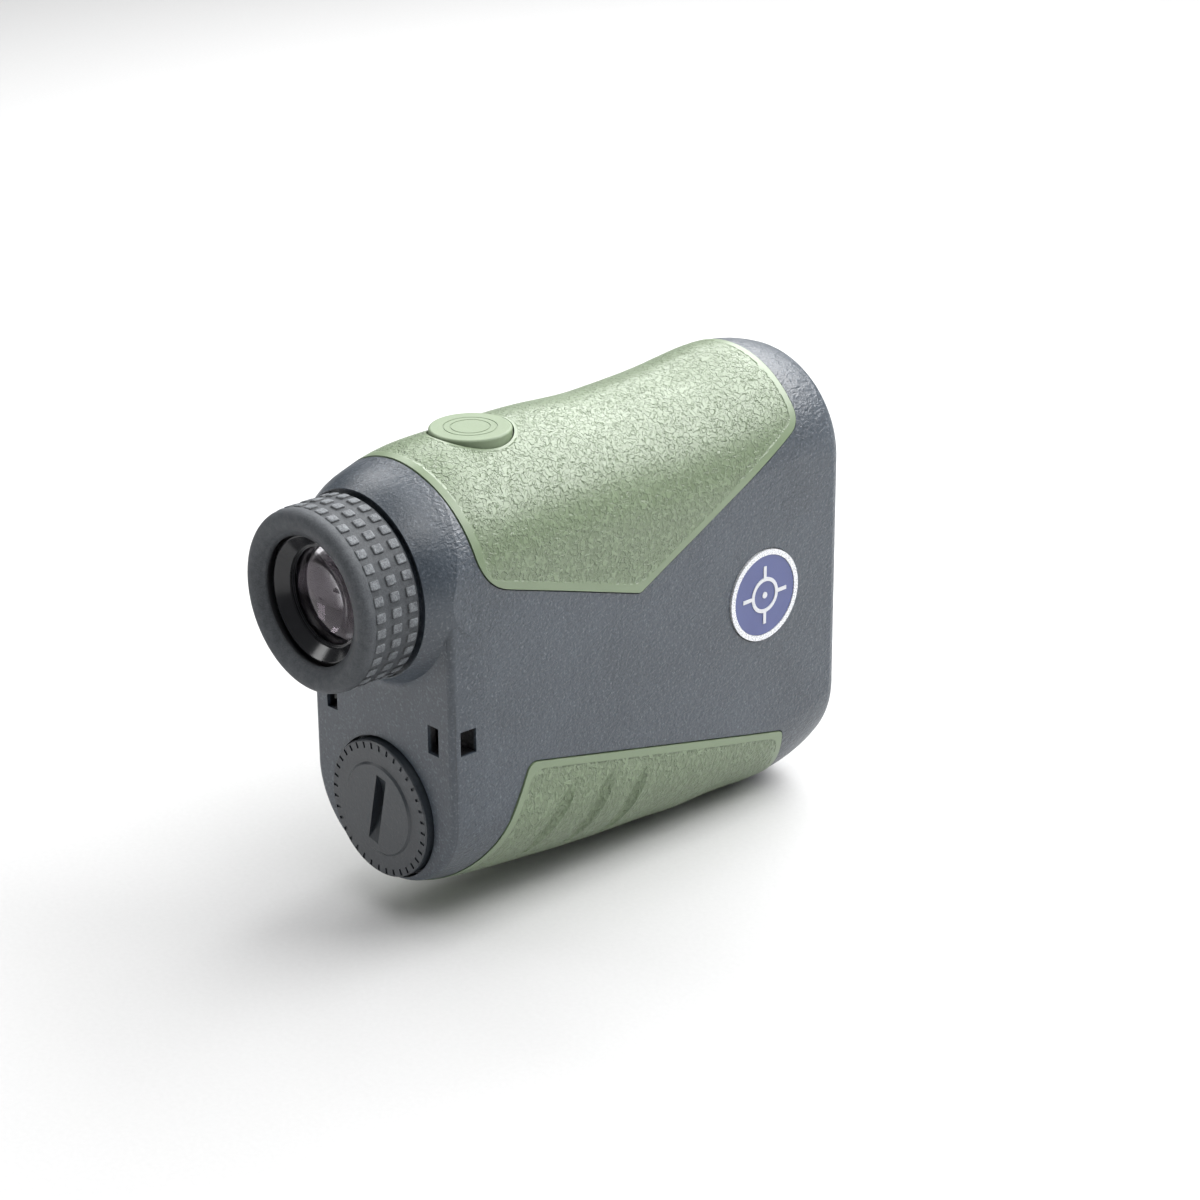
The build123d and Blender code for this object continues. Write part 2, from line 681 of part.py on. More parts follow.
# ---- assembly -----------------------------------------------------------------------------------
def build_all():
    nodes = {
        "main_housing": main_housing(),
        "top_grip": top_grip(),
        "bottom_grip": bottom_grip(),
        "front_cover": front_cover(),
        "front_trim": front_plate(4.85, 94.42, 95.0, 12.45, 9.35),
        "front_gasket": front_gasket(),
        "cover_screws": cover_screws(),
        "laser_diode": laser_diode(),
        "laser_board": laser_board(),
        "optics_chassis": optics_chassis(),
        "prism_clip": prism_clip(),
        "main_board": main_board(),
        "board_parts": board_parts(),
        "board_screws": board_screws(),
        "battery_tube": battery_tube(),
        "battery_spring": battery_spring(),
        "battery": battery(),
        "battery_cap": battery_cap(),
        "cap_oring": cap_oring(),
        "cap_contact": cap_contact(),
        "eyepiece_tube": eyepiece_tube(),
        "eyepiece_nut": eyepiece_nut(),
        "eyepiece_oring": eyepiece_oring(),
        "diopter_ring": diopter_ring(),
        "eyecup": eyecup(),
        "measure_button": measure_button(),
        "button_clip": button_clip(),
        "button_spring": button_spring(),
        "tact_switch": tact_switch(),
        "switch_plunger": switch_plunger(),
        "button_board": button_board(),
    }
    nodes["badge_ring"], nodes["badge_disc"], nodes["badge_symbol"] = badge()
    names = ("objective_cell", "objective_front_lens", "objective_rear_lens", "objective_retainer")
    nodes.update(zip(names, objective()))
    nodes.update(zip(("emitter_barrel", "emitter_lens", "emitter_retainer", "laser_holder"), emitter()))
    nodes["half_prism"], nodes["roof_prism"] = prisms()
    nodes["receiver_diode"], nodes["receiver_board"] = receiver()
    nodes["display_panel"], nodes["display_frame"] = display()
    names = ("ocular_cell", "eye_lens", "field_lens", "lens_spacer", "ocular_retainer")
    nodes.update(zip(names, ocular()))
    return nodes


os.makedirs("parts", exist_ok=True)
for name, shape in build_all().items():
    solid = Compound(children=shape) if isinstance(shape, list) else shape
    export_step(solid, f"parts/{name}.step")
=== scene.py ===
import math

import bpy
import numpy as np
from mathutils import Matrix, Vector


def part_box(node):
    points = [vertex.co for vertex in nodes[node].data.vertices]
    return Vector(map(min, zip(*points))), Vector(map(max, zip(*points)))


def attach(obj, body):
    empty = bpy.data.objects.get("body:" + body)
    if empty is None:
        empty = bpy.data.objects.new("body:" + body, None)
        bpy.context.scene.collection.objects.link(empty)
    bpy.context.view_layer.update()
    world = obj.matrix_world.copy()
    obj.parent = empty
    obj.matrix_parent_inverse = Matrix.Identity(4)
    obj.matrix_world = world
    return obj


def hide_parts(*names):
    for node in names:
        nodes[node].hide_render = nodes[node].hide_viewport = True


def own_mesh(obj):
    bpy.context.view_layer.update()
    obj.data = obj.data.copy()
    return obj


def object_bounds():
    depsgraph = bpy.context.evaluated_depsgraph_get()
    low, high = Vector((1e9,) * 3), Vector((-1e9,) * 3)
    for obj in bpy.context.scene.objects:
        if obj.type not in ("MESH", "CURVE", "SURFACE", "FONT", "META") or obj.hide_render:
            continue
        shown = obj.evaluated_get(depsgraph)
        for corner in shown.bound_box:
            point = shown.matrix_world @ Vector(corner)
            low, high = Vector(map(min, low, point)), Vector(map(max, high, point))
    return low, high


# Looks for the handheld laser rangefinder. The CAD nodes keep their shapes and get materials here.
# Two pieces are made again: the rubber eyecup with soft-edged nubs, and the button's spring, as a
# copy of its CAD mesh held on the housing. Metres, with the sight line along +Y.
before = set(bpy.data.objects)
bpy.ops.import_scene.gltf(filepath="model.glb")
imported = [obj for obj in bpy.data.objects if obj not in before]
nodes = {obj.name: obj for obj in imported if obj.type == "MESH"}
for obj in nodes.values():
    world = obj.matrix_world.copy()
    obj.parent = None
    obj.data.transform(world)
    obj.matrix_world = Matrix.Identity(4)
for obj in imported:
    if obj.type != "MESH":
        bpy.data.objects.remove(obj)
cad_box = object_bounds()
scene = bpy.context.scene

mm = 0.001
collar_length = 3.5 * mm
housing_low, housing_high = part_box("main_housing")
rear_y = housing_low.y + collar_length
side_x = housing_high.x
floor_z = cad_box[0].z
button_low, button_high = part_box("measure_button")
button_r = (button_high.x - button_low.x) / 2
button_axis = Vector((0, (button_low.y + button_high.y) / 2, 0))

# the strap passages' heights and how far they reach from the rear face, with some to spare; they
# bound the painted shade inside the passages
passage_low, passage_high = -31 * mm, -20.6 * mm
passage_depth = 14 * mm


# ---- material helper ----------------------------------------------------------------------------
class Look:
    """One procedural material. Values that don't vary go on the shader's own sockets."""

    def __init__(self, name, **constants):
        self.material = bpy.data.materials.new(name)
        self.material.use_nodes = True
        self.tree = self.material.node_tree
        self.shader = self.tree.nodes["Principled BSDF"]
        for socket, value in constants.items():
            self.shader.inputs[socket.replace("_", " ")].default_value = value
        self.place = self.add("TexCoord").outputs["Object"]

    def add(self, kind, **settings):
        node = self.tree.nodes.new("ShaderNode" + kind)
        for key, value in settings.items():
            setattr(node, key, value)
        return node

    def put(self, socket, value):
        """Connects an output, or sets a plain value."""
        if isinstance(value, bpy.types.NodeSocket):
            self.tree.links.new(value, socket)
        else:
            socket.default_value = value

    def math(self, operation, *values):
        node = self.add("Math", operation=operation)
        for socket, value in zip(node.inputs, values):
            self.put(socket, value)
        return node.outputs[0]

    def times(self, a, b):
        return self.math("MULTIPLY", a, b)

    def plus(self, a, b):
        return self.math("ADD", a, b)

    def minus(self, a, b):
        return self.math("SUBTRACT", a, b)

    def dot(self, vector, direction):
        node = self.add("VectorMath", operation="DOT_PRODUCT")
        self.put(node.inputs[0], vector)
        node.inputs[1].default_value = direction
        return node.outputs["Value"]

    def moved(self, offset=(0, 0, 0), scale=(1, 1, 1)):
        """The place, shifted and stretched."""
        node = self.add("Mapping", vector_type="POINT")
        self.put(node.inputs["Vector"], self.place)
        node.inputs["Location"].default_value = offset
        node.inputs["Scale"].default_value = scale
        return node.outputs[0]

    def noise(self, size, detail, roughness, distortion=0.0, place=None):
        """Noise whose features are about this size, in metres."""
        node = self.add("TexNoise")
        self.put(node.inputs["Vector"], place or self.place)
        node.inputs["Scale"].default_value = 1 / size
        node.inputs["Detail"].default_value = detail
        node.inputs["Roughness"].default_value = roughness
        node.inputs["Distortion"].default_value = distortion
        return node.outputs["Fac"]

    def span(self, value, low, high, to_low=0.0, to_high=1.0, smooth=False):
        """Low to high becomes to_low to to_high. Low may be the larger one."""
        node = self.add("MapRange", interpolation_type="SMOOTHSTEP" if smooth else "LINEAR")
        for key, number in zip(("Value", "From Min", "From Max", "To Min", "To Max"),
                               (value, low, high, to_low, to_high)):
            self.put(node.inputs[key], number)
        return node.outputs["Result"]

    def within(self, value, low, high, edge):
        """1 between low and high, falling to 0 over an edge at each end."""
        return self.times(self.span(value, low, low + edge), self.span(value, high, high - edge))

    def blend(self, amount, first, second):
        """First where amount is 0, second where it is 1."""
        node = self.add("Mix", data_type="RGBA")
        self.put(node.inputs["Factor"], amount)
        for key, colour in (("A", first), ("B", second)):
            socket = [s for s in node.inputs if s.name == key and s.type == "RGBA"][0]
            self.put(socket, colour if isinstance(colour, bpy.types.NodeSocket) else (*colour, 1))
        return [s for s in node.outputs if s.type == "RGBA"][0]

    def bump(self, height, depth, below=None):
        """Bump from a height of 0 to 1 and its depth in metres."""
        node = self.add("Bump")
        node.inputs["Strength"].default_value = 1.0
        node.inputs["Distance"].default_value = depth
        self.put(node.inputs["Height"], height)
        if below is not None:
            self.put(node.inputs["Normal"], below)
        return node.outputs[0]

    def finish(self, colour, rough, normal=None):
        """Connects the shader and gives the material."""
        self.put(self.shader.inputs["Base Color"], colour)
        self.put(self.shader.inputs["Roughness"], rough)
        if normal is not None:
            self.put(self.shader.inputs["Normal"], normal)
        return self.material


def shade(colour, factor):
    return [c * factor for c in colour]


def dress(material, *names):
    """Gives these CAD nodes the material."""
    for name in names:
        slots = nodes[name].data.materials
        slots.clear()
        slots.append(material)


def axis_distance(look, centre, across):
    """Distance from a line through the centre; across picks the two axes square to it."""
    node = look.add("VectorMath", operation="MULTIPLY_ADD")
    look.put(node.inputs[0], look.place)
    node.inputs[1].default_value = across
    node.inputs[2].default_value = [-c * a for c, a in zip(centre, across)]
    length = look.add("VectorMath", operation="LENGTH")
    look.put(length.inputs[0], node.outputs[0])
    return length.outputs["Value"]


# ---- moulded plastics ---------------------------------------------------------------------------
def body_plastic(name, dark, light, fleck, relief=1.0, details=None):
    """Blue-grey moulded plastic with leathery wrinkles and pale flecks, and details of its own."""
    look = Look(name, IOR=1.5, Specular_IOR_Level=0.85)
    fine = look.noise(0.42 * mm, 2, 0.6)
    wrinkles = look.noise(1.0 * mm, 2, 0.55, 0.7, place=look.moved(scale=(1.2, 0.8, 1.2)))
    broad = look.noise(15 * mm, 3, 0.55)
    specks = look.noise(0.46 * mm, 1, 0.4, place=look.moved((0.31, 0.17, 0.05)))
    tone = look.span(look.plus(fine, look.times(broad, 0.5)), 0.55, 0.95)
    colour = look.blend(tone, dark, light)
    colour = look.blend(look.span(specks, 0.58, 0.76, 0.0, 0.42), colour, fleck)
    if details:
        wrinkles, colour = details(look, wrinkles, colour, dark)
    normal = look.bump(wrinkles, 0.27 * mm * relief)
    normal = look.bump(fine, 0.05 * mm * relief, below=normal)
    return look.finish(colour, look.span(fine, 0.3, 0.7, 0.34, 0.44), normal)


def rear_details(look, wrinkles, colour, dark):
    """The wrinkles fade at the rear face, a fine parting line runs round it below the collar, and
    the strap passages are painted near black inside as painted shade."""
    sideways = look.math("ABSOLUTE", look.dot(look.place, (1, 0, 0)))
    along = look.dot(look.place, (0, 1, 0))
    height = look.dot(look.place, (0, 0, 1))
    fade = look.span(along, rear_y + 0.3 * mm, rear_y + 3.5 * mm, 0.25, 1.0)
    line = look.within(along, rear_y + 0.62 * mm, rear_y + 0.9 * mm, 0.12 * mm)
    line = look.times(line, look.span(height, -16 * mm, -19 * mm, 0.0, 0.5))
    colour = look.blend(line, colour, shade(dark, 0.4))
    # painted shade: the inside of the strap passages is painted near black, standing in for the
    # shade in them
    under_skin = look.times(look.span(along, rear_y + 0.5 * mm, rear_y + 0.9 * mm),
                            look.span(sideways, side_x - 0.4 * mm, side_x - 0.9 * mm))
    reach = look.span(along, rear_y + passage_depth, rear_y + passage_depth - 1 * mm)
    passage_shade = look.times(look.times(under_skin, reach),
                         look.within(height, passage_low, passage_high, 0.4 * mm))
    return look.times(wrinkles, fade), look.blend(passage_shade, colour, (0.006, 0.006, 0.007))


def black_plastic(name, tone, rough_low, rough_high, depth=0.02 * mm):
    """Near-black plastic, rubber or anodised metal, with a fine grain and faint smudges."""
    look = Look(name, IOR=1.5)
    fine = look.noise(0.35 * mm, 3, 0.6)
    smudge = look.noise(7 * mm, 3, 0.6)
    colour = look.blend(smudge, shade(tone, 0.75), shade(tone, 1.3))
    rough = look.span(look.plus(fine, smudge), 0.7, 1.3, rough_low, rough_high)
    return look.finish(colour, rough, look.bump(fine, depth))


# ---- green grips --------------------------------------------------------------------------------
# The grips' outlines in the side view, in millimetres from the rear face and the sight line, and
# a point inside each. Their corners are rounded, and so are the distances from them.
top_edges = (((5.0, 19.0), (7.1, 1.7)), ((7.1, 1.7), (43.5, -9.8)), ((43.5, -9.8), (84.8, 10.8)),
             ((84.8, 10.8), (84.6, 30.0)))
top_inside = (45, 10)
bottom_edges = (((80.4, -48.6), (17.1, -33.6)), ((84.5, -68.0), (80.4, -48.6)))
bottom_arc = ((17.1, -33.6), (10.6, -45.8), (1.5, -57.2))
bottom_inside = (45, -55)
corner_r = 3 * mm

green_light = (0.190, 0.252, 0.150)
# the darker green is used only for painted shade in the grips' crevices and flake edges
green_shade_paint = (0.095, 0.135, 0.065)


def edge_distance(look, edges, inside):
    """How far a point lies inside straight edges, on the side that the inside point is on."""
    nearest = None
    for (y0, z0), (y1, z1) in edges:
        length = math.hypot(y1 - y0, z1 - z0)
        ny, nz = -(z1 - z0) / length, (y1 - y0) / length
        if ny * (inside[0] - y0) + nz * (inside[1] - z0) < 0:
            ny, nz = -ny, -nz
        level = ny * (rear_y + y0 * mm) + nz * z0 * mm
        distance = look.minus(look.dot(look.place, (0, ny, nz)), level)
        nearest = (distance if nearest is None
                   else look.math("SMOOTH_MIN", nearest, distance, corner_r))
    return nearest


def circle_through(a, b, c):
    """Centre and radius of the circle through three points."""
    d = 2 * (a[0] * (b[1] - c[1]) + b[0] * (c[1] - a[1]) + c[0] * (a[1] - b[1]))
    squares = [p[0] ** 2 + p[1] ** 2 for p in (a, b, c)]
    y = (squares[0] * (b[1] - c[1]) + squares[1] * (c[1] - a[1]) + squares[2] * (a[1] - b[1])) / d
    z = (squares[0] * (c[0] - b[0]) + squares[1] * (a[0] - c[0]) + squares[2] * (b[0] - a[0])) / d
    return y, z, math.hypot(a[0] - y, a[1] - z)


def inside_top(look):
    """How far a point lies inside the upper grip's outline and outside the button's well."""
    outline = edge_distance(look, top_edges, top_inside)
    well = look.minus(axis_distance(look, button_axis, (1, 1, 0)), button_r - 0.6 * mm)
    return look.math("MINIMUM", outline, well)


def inside_bottom(look):
    """How far a point lies inside the lower grip's outline, whose rear edge is an arc."""
    outline = edge_distance(look, bottom_edges, bottom_inside)
    y, z, r = circle_through(*bottom_arc)
    from_centre = axis_distance(look, (0, rear_y + y * mm, z * mm), (0, 1, 1))
    if math.hypot(bottom_inside[0] - y, bottom_inside[1] - z) > r:
        arc = look.minus(from_centre, r * mm)
    else:
        arc = look.minus(r * mm, from_centre)
    return look.math("SMOOTH_MIN", outline, arc, corner_r)


def grip_rubber(name, inside, stretch):
    """Sage green rubber moulded in low, steep-sided flakes and crumbs, with a smooth margin round
    the outline. Painted shade darkens the crevices and the flakes' edges, the crevices more on
    steep faces than on upward-facing ones, and a painted highlight lightens the crumb tops on steep
    faces."""
    look = Look(name, IOR=1.5, Specular_IOR_Level=0.85)
    flakes = look.noise(1.1 * mm, 1.3, 0.5, 0.6, place=look.moved(scale=stretch))
    flakes = look.span(flakes, 0.47, 0.53, smooth=True)
    crumbs = look.noise(0.75 * mm, 1, 0.5, 0.5, place=look.moved((0.2, 0.1, 0.3), stretch))
    crumbs = look.span(crumbs, 0.46, 0.53, smooth=True)
    height = look.plus(look.times(flakes, 0.55), look.times(crumbs, 0.45))
    broad = look.noise(17 * mm, 2, 0.5)
    fine = look.noise(0.3 * mm, 2, 0.6)
    moulded = look.span(inside(look), 1.25 * mm, 1.7 * mm, smooth=True)
    carved = look.times(look.minus(1.0, height), moulded)
    steep = look.span(look.dot(look.add("NewGeometry").outputs["Normal"], (0, 0, 1)), 0.75, 0.2)

    tone = look.span(look.plus(broad, look.times(fine, 0.35)), 0.45, 0.95)
    colour = look.blend(tone, shade(green_light, 0.92), green_light)
    # painted shade: the crevices between the flakes are darker, more so on steep faces
    hollow_shade = look.times(carved, look.span(steep, 0, 1, 0.10, 0.42))
    colour = look.blend(hollow_shade, colour, green_shade_paint)
    # painted shade: a dark line along each flake's edge
    edges = look.times(look.times(flakes, look.minus(1.0, flakes)), moulded)
    colour = look.blend(edges, colour, shade(green_shade_paint, 0.6))
    # painted highlight: the crumb tops on steep faces are lighter
    crest_highlight = look.times(look.times(crumbs, flakes), look.times(steep, moulded))
    colour = look.blend(look.times(crest_highlight, 0.22), colour, shade(green_light, 1.35))
    normal = look.bump(look.minus(1.0, carved), 0.30 * mm)
    normal = look.bump(fine, 0.008 * mm, below=normal)
    return look.finish(colour, look.span(fine, 0.3, 0.7, 0.33, 0.40), normal)


def button_rubber():
    """The grips' green, smooth and more matt."""
    look = Look("button_green", IOR=1.5, Specular_IOR_Level=0.85)
    fine = look.noise(0.22 * mm, 3, 0.6)
    broad = look.noise(5 * mm, 2, 0.5)
    tone = look.span(look.plus(look.times(fine, 0.6), look.times(broad, 0.6)), 0.4, 0.8)
    colour = look.blend(tone, shade(green_light, 0.93), green_light)
    return look.finish(colour, look.span(fine, 0.3, 0.7, 0.5, 0.62), look.bump(fine, 0.012 * mm))


# ---- eyecup, in millimetres ---------------------------------------------------------------------
band_r = 15.8
nub_height = 0.35
nub_half_w, nub_half_l = 0.825, 0.95
nub_columns, nub_rows = 36, 3
column_step = 360 / nub_columns
column_start = 0.8
first_nub, row_step = 0.5, 3.4
rim_r, rim_roll = 15.95, 1.65
seat_r = 14.22
foot_round = 0.45


def eyecup_rubber():
    """Dusty charcoal rubber. Painted shade darkens the band between the nubs and, more, the nubs'
    sides, and a painted highlight lightens the nub tops.
    """
    look = Look("eyecup_rubber", IOR=1.45)
    fine = look.noise(0.26 * mm, 4, 0.66)
    coarse = look.noise(1.1 * mm, 3, 0.6)
    broad = look.noise(8 * mm, 2, 0.5)
    radius = axis_distance(look, (0, 0, 0), (1, 0, 1))
    top_low, top_high = (band_r + 0.2) * mm, (band_r + 0.3) * mm
    on_band = look.span(look.dot(look.place, (0, 1, 0)), 0.3 * mm, 0.6 * mm)
    nub_tops = look.span(radius, top_low, top_high)
    nub_side_shade = look.times(look.span(radius, band_r * mm, (band_r + 0.06) * mm),
                           look.span(radius, top_high, top_low))
    dust = look.span(look.plus(fine, look.times(coarse, 0.6)), 0.66, 1.0)
    dust = look.times(dust, look.plus(look.times(nub_tops, 0.75), 0.2))

    colour = look.blend(look.span(broad, 0.3, 0.7), (0.046, 0.051, 0.058), (0.060, 0.066, 0.074))
    # painted shade: the band between the nubs is darker than the rim
    colour = look.blend(look.times(on_band, 0.5), colour, (0.034, 0.038, 0.043))
    # painted shade: the nubs' sides are darker still
    colour = look.blend(look.times(look.times(nub_side_shade, on_band), 0.8), colour,
                        (0.014, 0.015, 0.017))
    # painted highlight: the nub tops are lighter
    colour = look.blend(look.times(nub_tops, 0.5), colour, (0.105, 0.113, 0.124))
    colour = look.blend(dust, colour, (0.23, 0.245, 0.26))
    normal = look.bump(coarse, 0.08 * mm)
    normal = look.bump(fine, 0.06 * mm, below=normal)
    return look.finish(colour, look.span(fine, 0.3, 0.7, 0.5, 0.7), normal)


def rounded_square(u, v, half_u, half_v, corner=0.28, soft=0.11):
    """1 on a nub's top, falling to 0 around it; u and v are distances from its middle."""
    du = np.abs(u) - (half_u - corner)
    dv = np.abs(v) - (half_v - corner)
    past_corner = np.hypot(np.maximum(du, 0), np.maximum(dv, 0))
    outside = past_corner + np.minimum(np.maximum(du, dv), 0) - corner
    t = np.clip(0.5 - outside / (2 * soft), 0, 1)
    return t * t * (3 - 2 * t)


def eyecup_profile(rim, foot, land):
    """Radius and place along Y of each ring of points: foot, nubbed band, rim, funnel, seat."""
    past_edge = (-0.18, -0.06, 0.06, 0.18, 0.45)
    marks = [nub_half_l + d for d in past_edge] + [-nub_half_l - d for d in past_edge] + [-0.4, 0.4]
    middles = [first_nub + nub_half_l + row_step * row for row in range(nub_rows)]
    band = sorted({round(middle + mark, 3) for middle in middles for mark in marks}, reverse=True)
    shoulder_r = band_r - foot_round
    profile = [(seat_r, foot), (band_r - 0.7, foot), (shoulder_r, foot - 0.03)]
    profile += [(shoulder_r + foot_round * math.sin(a), foot - foot_round + 0.42 * math.cos(a))
                for a in (0.4, 0.8, 1.2, 1.57)]
    profile += [(band_r, y) for y in band if land + 0.2 < y < foot - 0.5]
    profile += [(band_r, land + 0.15), (rim_r - 0.03, land + 0.03), (rim_r, land - 0.05),
                (rim_r, rim + rim_roll)]
    for a in np.linspace(0, math.pi / 2, 9)[1:]:
        profile.append((rim_r - rim_roll + rim_roll * math.cos(a),
                        rim + rim_roll - rim_roll * math.sin(a)))
    lip = rear_y / mm - 14.35
    profile += [(13.9, rim + 0.03), (13.5, rim + 0.1), (13.1, rim + 0.24), (12.7, rim + 0.45),
                (12.3, rim + 0.8), (12.05, rim + 1.2), (11.3, lip), (seat_r, lip)]
    return np.array(profile).T


def build_eyecup():
    """One rubber skin: nubs moulded in a dense band, a rolled rim, and the funnel inside."""
    low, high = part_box("eyecup")
    rim, foot = low.y / mm, high.y / mm
    land = -rim - rim_roll
    rr, yy = eyecup_profile(rim, foot, land)
    offsets = np.array([-5, -4, -3.45, -3.2, -3.0, -2.8, -2.55, -2.0, -1.0,
                        0, 1.0, 2.0, 2.55, 2.8, 3.0, 3.2, 3.45, 4])
    columns = [column_start + column_step * (k + 0.5) for k in range(nub_columns)]
    angles = np.radians(np.concatenate([offsets + column for column in columns]))
    grid_r = np.repeat(rr[:, None], len(angles), 1)
    for i in np.nonzero((np.abs(rr - band_r) < 0.001) & (yy > land))[0]:
        for row in range(nub_rows):
            middle = first_nub + nub_half_l + row_step * row
            for column in columns:
                turn = (angles - math.radians(column) + math.pi) % (2 * math.pi) - math.pi
                nub = rounded_square(turn * band_r, yy[i] - middle, nub_half_w, nub_half_l)
                grid_r[i] += np.where(np.abs(turn) < math.radians(column_step),
                                      nub_height * nub, 0)
    vertices = []
    for i in range(len(rr)):
        for r, a in zip(grid_r[i], angles):
            vertices.append((r * math.sin(a) * mm, yy[i] * mm, r * math.cos(a) * mm))
    rings, points = len(rr), len(angles)
    faces = []
    for i in range(rings):
        ring, next_ring = i * points, (i + 1) % rings * points
        for j in range(points):
            k = (j + 1) % points
            faces.append((ring + j, ring + k, next_ring + k, next_ring + j))
    mesh = bpy.data.meshes.new("eyecup_skin")
    mesh.from_pydata(vertices, [], faces)
    mesh.validate()
    mesh.update()
    for polygon in mesh.polygons:
        polygon.use_smooth = True
    mesh.materials.append(eyecup_rubber())
    skin = bpy.data.objects.new("eyecup_skin", mesh)
    scene.collection.objects.link(skin)
    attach(skin, "diopter")
    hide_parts("eyecup")


def build_button_spring():
    """The button's coil spring, a copy of its CAD mesh held on the housing."""
    spring = bpy.data.objects.new("button_coil", nodes["button_spring"].data.copy())
    scene.collection.objects.link(spring)
    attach(spring, "housing")
    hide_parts("button_spring")
    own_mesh(spring)


# ---- badge --------------------------------------------------------------------------------------
def badge_metal(name, dark, light, rough_low, rough_high, **constants):
    look = Look(name, IOR=1.5, **constants)
    fine = look.noise(0.3 * mm, 2, 0.5)
    rough = look.span(fine, 0.3, 0.7, rough_low, rough_high)
    return look.finish(look.blend(fine, dark, light), rough, look.bump(fine, 0.004 * mm))


def badge_enamel():
    look = Look("badge_blue", IOR=1.5, Coat_Weight=0.5, Coat_Roughness=0.12)
    broad = look.noise(6 * mm, 2, 0.5)
    fine = look.noise(0.25 * mm, 2, 0.6)
    tone = look.span(look.plus(look.times(broad, 0.7), look.times(fine, 0.4)), 0.35, 0.75)
    colour = look.blend(tone, (0.058, 0.075, 0.225), (0.070, 0.090, 0.255))
    return look.finish(colour, look.span(fine, 0.3, 0.7, 0.28, 0.38), look.bump(fine, 0.004 * mm))


# ---- glass, metal, boards -----------------------------------------------------------------------
def glass(name, tint, specular_tint, ior=1.52):
    """Coated glass. A faint film of dust changes its tint and roughness a little."""
    look = Look(name, IOR=ior, Transmission_Weight=1.0, Specular_Tint=(*specular_tint, 1))
    film = look.noise(3 * mm, 3, 0.6)
    colour = look.blend(film, tint, [min(1, t * 1.03) for t in tint])
    return look.finish(colour, look.span(film, 0.3, 0.8, 0.0, 0.006))


def metal(name, dark, light, rough_low, rough_high):
    look = Look(name, Metallic=1.0)
    fine = look.noise(0.3 * mm, 3, 0.6)
    broad = look.noise(5 * mm, 2, 0.5)
    colour = look.blend(look.times(look.plus(fine, broad), 0.5), dark, light)
    rough = look.span(fine, 0.3, 0.7, rough_low, rough_high)
    return look.finish(colour, rough, look.bump(fine, 0.008 * mm))


def solder_mask():
    """Green board lacquer over a grid of tracks."""
    look = Look("circuit_board", IOR=1.5, Coat_Weight=0.4, Coat_Roughness=0.2)
    tracks = look.add("TexBrick", offset=0.5)
    look.put(tracks.inputs["Vector"], look.place)
    tracks.inputs["Scale"].default_value = 260
    tracks.inputs["Color1"].default_value = (0.012, 0.11, 0.045, 1)
    tracks.inputs["Color2"].default_value = (0.016, 0.14, 0.055, 1)
    tracks.inputs["Mortar"].default_value = (0.03, 0.2, 0.08, 1)
    tracks.inputs["Mortar Size"].default_value = 0.03
    fine = look.noise(0.4 * mm, 2, 0.5)
    colour = look.blend(look.times(fine, 0.4), tracks.outputs["Color"], (0.01, 0.08, 0.03))
    return look.finish(colour, look.span(fine, 0.3, 0.7, 0.3, 0.45),
                       look.bump(tracks.outputs["Fac"], 0.02 * mm))


def battery_sleeve():
    """A plain dark sleeve with one pale band."""
    look = Look("battery_wrap", IOR=1.5, Coat_Weight=0.6, Coat_Roughness=0.1)
    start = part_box("battery")[0].y
    along = look.dot(look.place, (0, 1, 0))
    band = look.within(along, start + 19.8 * mm, start + 23.2 * mm, 0.2 * mm)
    fine = look.noise(0.4 * mm, 2, 0.5)
    colour = look.blend(fine, (0.05, 0.06, 0.10), (0.065, 0.078, 0.125))
    colour = look.blend(band, colour, (0.55, 0.56, 0.58))
    return look.finish(colour, look.span(fine, 0.3, 0.7, 0.25, 0.35), look.bump(fine, 0.006 * mm))


# ---- dress the CAD nodes ------------------------------------------------------------------------
dress(body_plastic("housing_plastic", (0.028, 0.038, 0.051), (0.056, 0.072, 0.092),
                   (0.19, 0.215, 0.25), details=rear_details), "main_housing")
dress(body_plastic("cap_plastic", (0.016, 0.021, 0.027), (0.026, 0.033, 0.041),
                   (0.05, 0.058, 0.068), relief=0.2), "battery_cap")
dress(grip_rubber("grip_rubber_top", inside_top, (1, 1, 1)), "top_grip")
dress(grip_rubber("grip_rubber_low", inside_bottom, (1.0, 1.25, 0.8)), "bottom_grip")
dress(button_rubber(), "measure_button")
dress(badge_metal("badge_rim", (0.66, 0.67, 0.70), (0.78, 0.79, 0.82), 0.22, 0.34,
                  Metallic=0.35, Coat_Weight=0.3, Coat_Roughness=0.15), "badge_ring")
dress(badge_enamel(), "badge_disc")
dress(badge_metal("badge_mark", (0.62, 0.63, 0.66), (0.74, 0.75, 0.78), 0.3, 0.42,
                  Metallic=0.2), "badge_symbol")
dress(black_plastic("cover_plastic", (0.032, 0.034, 0.038), 0.42, 0.58), "front_cover")
dress(black_plastic("trim_plastic", (0.012, 0.012, 0.013), 0.16, 0.3, 0.006 * mm), "front_trim")
dress(black_plastic("seal_rubber", (0.016, 0.016, 0.017), 0.6, 0.75),
      "front_gasket", "eyepiece_oring", "cap_oring")
dress(black_plastic("black_anodised", (0.022, 0.022, 0.025), 0.26, 0.4, 0.008 * mm),
      "objective_cell", "emitter_barrel", "laser_holder", "eyepiece_tube", "eyepiece_nut",
      "diopter_ring")
dress(black_plastic("optic_black", (0.010, 0.010, 0.011), 0.5, 0.7),
      "ocular_cell", "lens_spacer", "optics_chassis", "display_frame")
dress(black_plastic("retainer_black", (0.018, 0.0185, 0.021), 0.13, 0.22, 0.004 * mm),
      "ocular_retainer", "objective_retainer", "emitter_retainer")
dress(black_plastic("chip_black", (0.022, 0.022, 0.024), 0.45, 0.6),
      "board_parts", "tact_switch", "switch_plunger")
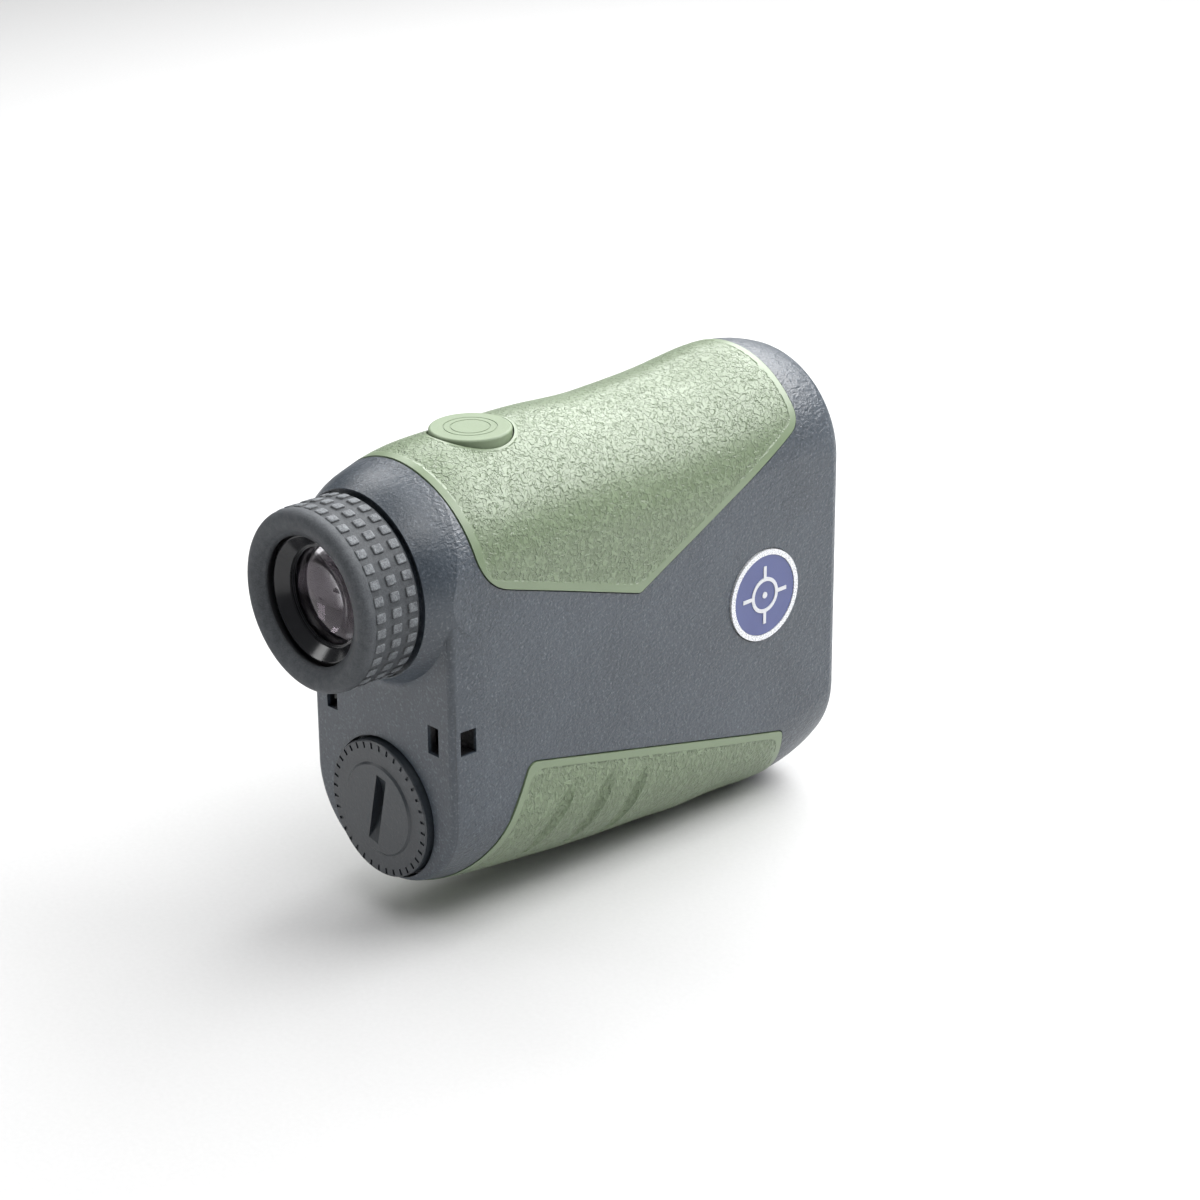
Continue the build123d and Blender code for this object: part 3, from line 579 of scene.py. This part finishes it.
dress(black_plastic("inner_plastic", (0.045, 0.046, 0.05), 0.5, 0.65), "battery_tube")
dress(glass("eye_glass", (0.84, 0.82, 0.86), (1.0, 0.86, 0.98)), "eye_lens", "field_lens")
dress(glass("objective_glass", (0.90, 0.95, 0.94), (0.75, 0.95, 0.85)),
      "objective_front_lens", "objective_rear_lens")
dress(glass("emitter_glass", (0.93, 0.85, 0.86), (1.0, 0.72, 0.75)), "emitter_lens")
dress(glass("prism_glass", (0.93, 0.96, 0.96), (1.0, 1.0, 1.0), 1.57), "half_prism", "roof_prism")
dress(glass("display_glass", (0.80, 0.84, 0.82), (1.0, 1.0, 1.0)), "display_panel")
dress(metal("screw_steel", (0.10, 0.10, 0.105), (0.18, 0.18, 0.19), 0.3, 0.45),
      "cover_screws", "board_screws")
dress(metal("diode_can", (0.45, 0.40, 0.28), (0.62, 0.57, 0.42), 0.2, 0.35),
      "laser_diode", "receiver_diode")
dress(metal("spring_steel", (0.45, 0.45, 0.46), (0.62, 0.62, 0.63), 0.2, 0.35),
      "battery_spring", "button_spring", "prism_clip", "button_clip")
dress(metal("contact_metal", (0.62, 0.60, 0.54), (0.76, 0.74, 0.68), 0.15, 0.3), "cap_contact")
dress(solder_mask(), "main_board", "laser_board", "receiver_board", "button_board")
dress(battery_sleeve(), "battery")
build_eyecup()
build_button_spring()

# ---- floor and light ----------------------------------------------------------------------------
floor_size = 6
bpy.ops.mesh.primitive_plane_add(size=floor_size, location=(0, 0, floor_z))
floor = bpy.context.object
floor.name = "floor"
paper = Look("floor_paper", IOR=1.4)
paper_tone = paper.blend(paper.noise(0.9 * mm, 2, 0.5), (0.59, 0.59, 0.59), (0.63, 0.63, 0.63))
floor.data.materials.append(paper.finish(paper_tone, 0.9))

world = bpy.data.worlds.new("studio")
world.use_nodes = True
world.node_tree.nodes["Background"].inputs["Color"].default_value = (0.97, 0.985, 1.0, 1)
world.node_tree.nodes["Background"].inputs["Strength"].default_value = 0.10
scene.world = world


def softbox(name, place, aim, size, power):
    """A rectangular area light; the size is its width and height, and the power is in watts."""
    light = bpy.data.lights.new(name, "AREA")
    light.shape = "RECTANGLE"
    light.size, light.size_y = size
    light.energy = power
    obj = bpy.data.objects.new(name, light)
    scene.collection.objects.link(obj)
    obj.location = place
    obj.rotation_euler = (Vector(aim) - Vector(place)).to_track_quat("-Z", "Y").to_euler()


middle = ((cad_box[0] + cad_box[1]) / 2)[:]
eyepiece = (0, 0, 0)
softbox("key_box", (0.16, 0.52, 0.50), middle, (0.9, 0.5), 9.5)
softbox("roof_box", (-0.40, 0.56, 0.46), middle, (0.4, 0.4), 2.0)
softbox("crown_box", (0.05, 0.05, 0.70), middle, (0.5, 0.4), 1.2)
softbox("left_crown_box", (-0.47, 0.11, 0.56), middle, (0.35, 0.35), 1.9)
softbox("right_crown_box", (0.36, -0.14, 0.60), middle, (0.40, 0.25), 1.5)
softbox("side_box", (0.70, 0.42, 0.36), middle, (0.35, 0.35), 0.5)
softbox("left_box", (-0.55, -0.32, 0.46), eyepiece, (0.22, 0.22), 0.75)
softbox("front_card", (-0.30, -1.0, 0.25), eyepiece, (0.3, 0.5), 1.2)
softbox("backdrop_box", (-1.3, 1.7, 1.0), (-1.4, 1.9, 0), (1.2, 1.2), 20.0)

# ---- camera -------------------------------------------------------------------------------------
# It looks down on the rear right corner.
azimuth, elevation, roll = math.radians(46.5), math.radians(22.79), math.radians(-0.47)
camera_place = Vector((0.388004, rear_y - 0.316442, 0.205482))
back = Vector((math.sin(azimuth) * math.cos(elevation),
               -math.cos(azimuth) * math.cos(elevation), math.sin(elevation)))
right = Vector((math.cos(azimuth), math.sin(azimuth), 0))
up = back.cross(right)
rolled_right = right * math.cos(roll) + up * math.sin(roll)
rolled_up = up * math.cos(roll) - right * math.sin(roll)
turned = Matrix((rolled_right, rolled_up, back)).transposed().to_4x4()
camera_data = bpy.data.cameras.new("camera")
camera_data.sensor_width = 36
camera_data.lens = 96.31
camera_data.clip_start = 0.01
camera = bpy.data.objects.new("camera", camera_data)
scene.collection.objects.link(camera)
camera.matrix_world = Matrix.Translation(camera_place) @ turned
scene.camera = camera
scene.view_settings.view_transform = "Standard"
